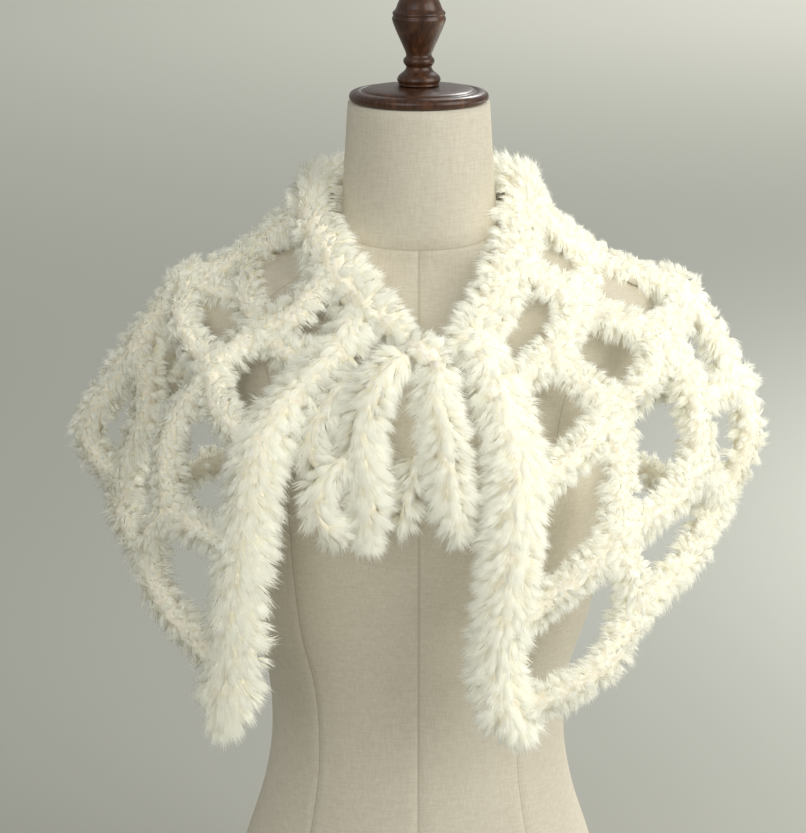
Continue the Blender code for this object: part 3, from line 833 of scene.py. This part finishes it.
def torso_point(turn, height):
    """Return points on the form's body at turns round it and heights, in millimetres."""
    sizes = np.array([smooth_row(TORSO_ROWS, float(level)) for level in height.ravel()])
    half_width, front_depth, back_depth = sizes.T.reshape(3, *height.shape)
    across = half_width * rounded(np.cos(turn), 2.0 / TORSO_ROUNDNESS)
    inward = rounded(np.sin(turn), 2.0 / TORSO_ROUNDNESS)
    side = (np.abs(across) - CHEST_ACROSS) / CHEST_SPREAD
    level = (height - CHEST_HEIGHT) / CHEST_SPREAD
    swell = CHEST_SWELL * np.exp(-side ** 2 - level ** 2)
    depth = np.where(inward < 0.0, inward * (front_depth + swell), inward * back_depth)
    return np.stack([across, depth, height], axis=-1)


def build_torso(material):
    """Return the form's body, its panels parted by sewn seams that lie a little sunk."""
    princess = math.acos(PRINCESS_SEAM_ACROSS ** (TORSO_ROUNDNESS / 2.0))
    seams = sorted([
        *(math.tau * share for share in (0.0, 0.25, 0.5, 0.75)),
        princess,
        math.pi - princess,
        math.pi + princess,
        math.tau - princess,
    ])
    half = SEAM_HALF_WIDTH / TORSO_MEAN_RADIUS
    turns = []
    sunk = []
    for seam, following in zip(seams, seams[1:] + [seams[0] + math.tau]):
        between = np.linspace(seam + half, following - half, TORSO_PANEL_COLUMNS + 1)
        turns += [seam, *between]
        sunk += [1.0] + [0.0] * len(between)
    turns = np.array(turns)
    sunk = np.array(sunk)
    levels = np.arange(0.0, TORSO_ROWS[-1][0], TORSO_LEVEL_STEP)
    levels = levels[np.abs(levels - NECK_SEAM_HEIGHT) > SEAM_CLEARANCE]
    seam_rows = NECK_SEAM_HEIGHT + np.array((-SEAM_HALF_WIDTH, 0.0, SEAM_HALF_WIDTH))
    levels = np.sort(np.concatenate([levels, seam_rows, [TORSO_ROWS[-1][0]]]))
    turn, level = np.meshgrid(turns, levels)
    fall = np.exp(-((level - NECK_SEAM_HEIGHT) / NECK_SEAM_SPREAD) ** 2)
    height = level + NECK_SEAM_TILT * np.sin(turn) * fall
    height[0] = 0.0
    height[-1] = TORSO_ROWS[-1][0]
    points = torso_point(turn, height)
    upright = sunk[None, :] * (level < NECK_SEAM_HEIGHT)
    round_neck = np.abs(level - NECK_SEAM_HEIGHT) < SAME_LEVEL
    seam = np.maximum(upright, round_neck)
    inward = unit(points * (-1.0, -1.0, 0.0))
    points = points + inward * (seam * SEAM_DEPTH)[..., None]
    points = points.reshape(-1, 3)
    centres = np.array(((0.0, 0.0, 0.0), (0.0, 0.0, TORSO_ROWS[-1][0])))
    faces = tube_faces(*turn.shape)
    torso = mesh_object("linen_form", np.concatenate([points, centres]) * MM, faces, material)
    layer = torso.data.color_attributes.new("seam", "FLOAT_COLOR", "POINT")
    shade = np.ones((len(points) + 2, 4), np.float32)
    shade[:-2, :3] = seam.reshape(-1, 1)
    shade[-2:, :3] = 0.0
    layer.data.foreach_set("color", shade.ravel())
    return torso


def build_turned(name, rows, material):
    """Return a turned piece whose profile is the table's with its corners rounded."""
    profile = np.array(rows)
    for _ in range(CORNER_ROUNDS):
        before = profile[:-1] * (1.0 - CORNER_CUT) + profile[1:] * CORNER_CUT
        after = profile[:-1] * CORNER_CUT + profile[1:] * (1.0 - CORNER_CUT)
        cut = np.stack([before, after], axis=1).reshape(-1, 2)
        profile = np.concatenate([profile[:1], cut, profile[-1:]])
    turn = np.linspace(0.0, math.tau, TURNED_STEPS, endpoint=False)
    radius = profile[1:-1, 0]
    height = profile[1:-1, 1]
    points = np.stack([
        radius[:, None] * np.cos(turn),
        radius[:, None] * np.sin(turn),
        np.repeat(height[:, None], TURNED_STEPS, axis=1),
    ], axis=-1)
    centres = np.array(((0.0, 0.0, profile[0, 1]), (0.0, 0.0, profile[-1, 1])))
    faces = tube_faces(len(radius), TURNED_STEPS, flipped=True)
    return mesh_object(name, np.concatenate([points.reshape(-1, 3), centres]) * MM, faces, material)


def new_material(name):
    """Return a material, its nodes, its links and its Principled shader."""
    material = bpy.data.materials.new(name)
    material.use_nodes = True
    nodes = material.node_tree.nodes
    return material, nodes, material.node_tree.links, nodes["Principled BSDF"]


def noise(nodes, links, scale, detail, stretch=(1.0, 1.0, 1.0)):
    """Return a noise texture in the object's own space, stretched along its axes."""
    place = nodes.new("ShaderNodeTexCoord")
    mapping = nodes.new("ShaderNodeMapping")
    mapping.inputs["Scale"].default_value = stretch
    texture = nodes.new("ShaderNodeTexNoise")
    texture.inputs["Scale"].default_value = scale
    texture.inputs["Detail"].default_value = detail
    links.new(place.outputs["Object"], mapping.inputs["Vector"])
    links.new(mapping.outputs["Vector"], texture.inputs["Vector"])
    return texture


def ramp(nodes, links, source, stops):
    """Return a colour ramp through some stops, each a place and a colour."""
    node = nodes.new("ShaderNodeValToRGB")
    links.new(source, node.inputs["Fac"])
    elements = node.color_ramp.elements
    for index, (place, colour) in enumerate(stops):
        element = elements[index] if index < 2 else elements.new(place)
        element.position = place
        element.color = (*colour, 1.0)
    return node


def fur_material():
    """Return the pile's material: pale fibres that also let light through."""
    material, nodes, links, shader = new_material("fur_pile")
    shade_and_tone = nodes.new("ShaderNodeVertexColor")
    shade_and_tone.layer_name = "shade_and_tone"
    shader.inputs["Roughness"].default_value = 0.85
    shader.inputs["Specular IOR Level"].default_value = 0.2
    links.new(shade_and_tone.outputs["Color"], shader.inputs["Base Color"])
    glow = nodes.new("ShaderNodeBsdfTranslucent")
    links.new(shade_and_tone.outputs["Color"], glow.inputs["Color"])
    mix = nodes.new("ShaderNodeMixShader")
    mix.inputs["Fac"].default_value = 0.50
    links.new(shader.outputs["BSDF"], mix.inputs[1])
    links.new(glow.outputs["BSDF"], mix.inputs[2])

    # Real pile scatters light so well that each fibre shades the others only a little.
    path = nodes.new("ShaderNodeLightPath")
    share = nodes.new("ShaderNodeMath")
    share.operation = "MULTIPLY"
    share.inputs[1].default_value = 0.985
    links.new(path.outputs["Is Shadow Ray"], share.inputs[0])
    clear = nodes.new("ShaderNodeBsdfTransparent")
    soften = nodes.new("ShaderNodeMixShader")
    links.new(share.outputs["Value"], soften.inputs["Fac"])
    links.new(mix.outputs["Shader"], soften.inputs[1])
    links.new(clear.outputs["BSDF"], soften.inputs[2])
    links.new(soften.outputs["Shader"], nodes["Material Output"].inputs["Surface"])
    return material


def yarn_material():
    """Return the material of the yarn's body under the pile, painted darker and warmer than the pile as the
    shade in its crevices.
    """
    material, nodes, links, shader = new_material("yarn_body")
    grain = noise(nodes, links, 260.0, 4.0)
    # Painted shade: both tones are darker and warmer than the pile's, for the crevices between tufts; the
    # noise between them is the yarn's own unevenness.
    colours = ramp(nodes, links, grain.outputs["Fac"], (
        (0.3, (0.79, 0.725, 0.58)),
        (0.7, (0.93, 0.905, 0.81)),
    ))
    links.new(colours.outputs["Color"], shader.inputs["Base Color"])
    shader.inputs["Roughness"].default_value = 0.95
    bump = nodes.new("ShaderNodeBump")
    bump.inputs["Strength"].default_value = 0.6
    bump.inputs["Distance"].default_value = 0.002
    links.new(grain.outputs["Fac"], bump.inputs["Height"])
    links.new(bump.outputs["Normal"], shader.inputs["Normal"])
    return material


def linen_material():
    """Return the form's linen: a fine weave with slubs both ways, darker in the seams."""
    material, nodes, links, shader = new_material("form_linen")
    upright = noise(nodes, links, 900.0, 2.0, (1.0, 1.0, 0.12))
    level = noise(nodes, links, 900.0, 2.0, (0.12, 0.12, 1.0))
    weave = nodes.new("ShaderNodeMath")
    weave.operation = "ADD"
    links.new(upright.outputs["Fac"], weave.inputs[0])
    links.new(level.outputs["Fac"], weave.inputs[1])
    half = nodes.new("ShaderNodeMath")
    half.operation = "MULTIPLY"
    half.inputs[1].default_value = 0.5
    links.new(weave.outputs["Value"], half.inputs[0])
    cloth = ramp(nodes, links, half.outputs["Value"], (
        (0.36, (0.545, 0.497, 0.397)),
        (0.64, (0.628, 0.583, 0.480)),
    ))
    seam = nodes.new("ShaderNodeVertexColor")
    seam.layer_name = "seam"
    blend = nodes.new("ShaderNodeMix")
    blend.data_type = "RGBA"
    links.new(seam.outputs["Color"], blend.inputs["Factor"])
    links.new(cloth.outputs["Color"], blend.inputs["A"])
    blend.inputs["B"].default_value = (0.47, 0.42, 0.32, 1.0)
    links.new(blend.outputs["Result"], shader.inputs["Base Color"])
    shader.inputs["Roughness"].default_value = 0.82
    shader.inputs["Specular IOR Level"].default_value = 0.25
    bump = nodes.new("ShaderNodeBump")
    bump.inputs["Strength"].default_value = 0.35
    bump.inputs["Distance"].default_value = 0.0003
    links.new(half.outputs["Value"], bump.inputs["Height"])
    links.new(bump.outputs["Normal"], shader.inputs["Normal"])
    return material


def walnut_material():
    """Return the turned wood: dark brown with a long grain, under a satin lacquer."""
    material, nodes, links, shader = new_material("turned_walnut")
    grain = noise(nodes, links, 240.0, 6.0, (1.0, 1.0, 0.10))
    grain.inputs["Distortion"].default_value = 0.6
    colours = ramp(nodes, links, grain.outputs["Fac"], (
        (0.30, (0.022, 0.007, 0.003)),
        (0.55, (0.060, 0.021, 0.008)),
        (0.75, (0.115, 0.045, 0.018)),
    ))
    links.new(colours.outputs["Color"], shader.inputs["Base Color"])
    shader.inputs["Roughness"].default_value = 0.38
    shader.inputs["Specular IOR Level"].default_value = 0.35
    shader.inputs["Coat Weight"].default_value = 0.2
    shader.inputs["Coat Roughness"].default_value = 0.22
    bump = nodes.new("ShaderNodeBump")
    bump.inputs["Strength"].default_value = 0.15
    bump.inputs["Distance"].default_value = 0.0004
    links.new(grain.outputs["Fac"], bump.inputs["Height"])
    links.new(bump.outputs["Normal"], shader.inputs["Normal"])
    return material


def floor_material():
    """Return the pale matt ground."""
    material, nodes, links, shader = new_material("pale_ground")
    shader.inputs["Base Color"].default_value = (0.375, 0.375, 0.335, 1.0)
    shader.inputs["Roughness"].default_value = 0.95
    shader.inputs["Specular IOR Level"].default_value = 0.0
    return material


def build_camera():
    """Put the camera where the photograph was taken from."""
    data = bpy.data.cameras.new("camera")
    data.lens = CAMERA_LENS
    data.clip_end = CAMERA_FAR
    camera = link(bpy.data.objects.new("camera", data))
    camera.location = CAMERA_PLACE
    camera.rotation_euler = (math.radians(90.0 - CAMERA_TILT_DOWN), 0.0, 0.0)
    bpy.context.scene.camera = camera


def add_lamp(name, place, target, size, watts, colour, spread):
    """Add a square soft light that faces a point."""
    data = bpy.data.lights.new(name, "AREA")
    data.shape = "SQUARE"
    data.size = size
    data.energy = watts
    data.color = colour
    data.spread = math.radians(spread)
    lamp = link(bpy.data.objects.new(name, data))
    lamp.location = place
    towards = np.array(target) - np.array(place)
    turn = math.atan2(towards[1], towards[0]) - math.pi / 2.0
    drop = math.acos(-towards[2] / np.linalg.norm(towards))
    lamp.rotation_euler = (drop, 0.0, turn)


def build_light():
    """Light the scene softly, with the brighter side to the right."""
    scene = bpy.context.scene
    scene.view_settings.view_transform = "Standard"
    scene.view_settings.look = "None"
    world = bpy.data.worlds.new("room")
    world.use_nodes = True
    background = world.node_tree.nodes["Background"]
    background.inputs["Color"].default_value = (0.93, 0.95, 0.92, 1.0)
    background.inputs["Strength"].default_value = 0.44
    scene.world = world
    for lamp in LAMPS:
        add_lamp(*lamp)


def build_ground():
    """Lay the plain ground that the form stands on."""
    corners = np.array(((-1, -1, 0), (1, -1, 0), (1, 1, 0), (-1, 1, 0))) * GROUND_REACH
    ground = mesh_object("ground", corners, [(0, 1, 2, 3)], floor_material(), smooth=False)


def main():
    """Build the capelet, its form and its surroundings."""
    build_camera()
    fur = fur_material()
    yarn = yarn_material()
    linen = linen_material()
    walnut = walnut_material()

    bodies = {}
    furs = {}
    for name, route in TIE_ROUTES.items():
        strand = Strand(route, free_ends=(False, True))
        bodies[name] = core_mesh(f"{name}_yarn", [strand], 1.0, yarn, radius=TIE_CORES[name] / 2.0)
        furs[name] = fur_object(f"{name}_fur", [strand], fur, PILES["tie"])

    form = build_torso(linen)
    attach(form, "root")
    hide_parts("dress_form_torso")

    borders = {
        "collar": (Strand(COLLAR_ROUTE, free_ends=(True, True)), "collar"),
        "front_band_left": (Strand(BAND_LEFT_ROUTE, free_ends=(False, True)), "front_band"),
        "front_band_right": (Strand(BAND_RIGHT_ROUTE, free_ends=(False, True)), "front_band"),
        "tie_knot": (Strand(KNOT_ROUTE), "collar"),
    }
    for name, (strand, pile) in borders.items():
        bodies[name] = core_mesh(f"{name}_yarn", [strand], CORE_SHARE, yarn, sides=14)
        furs[name] = fur_object(f"{name}_fur", [strand], fur, PILES[pile])
    for name, strands in net_strands().items():
        pile = PILES["net_back" if name == "net_back" else "net_front"]
        bodies[name] = core_mesh(f"{name}_yarn", strands, CORE_SHARE, yarn, sides=8, spacing=5.0)
        furs[name] = fur_object(f"{name}_fur", strands, fur, pile)
    for name, body in bodies.items():
        for piece in (body, furs[name]):
            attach(piece, "root")
            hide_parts(name)

    for name, rows in (("neck_cap", CAP_ROWS), ("finial", FINIAL_ROWS)):
        piece = build_turned(f"walnut_{name}", rows, walnut)
        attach(piece, "root")
        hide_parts(name)
    build_light()
    build_ground()


main()
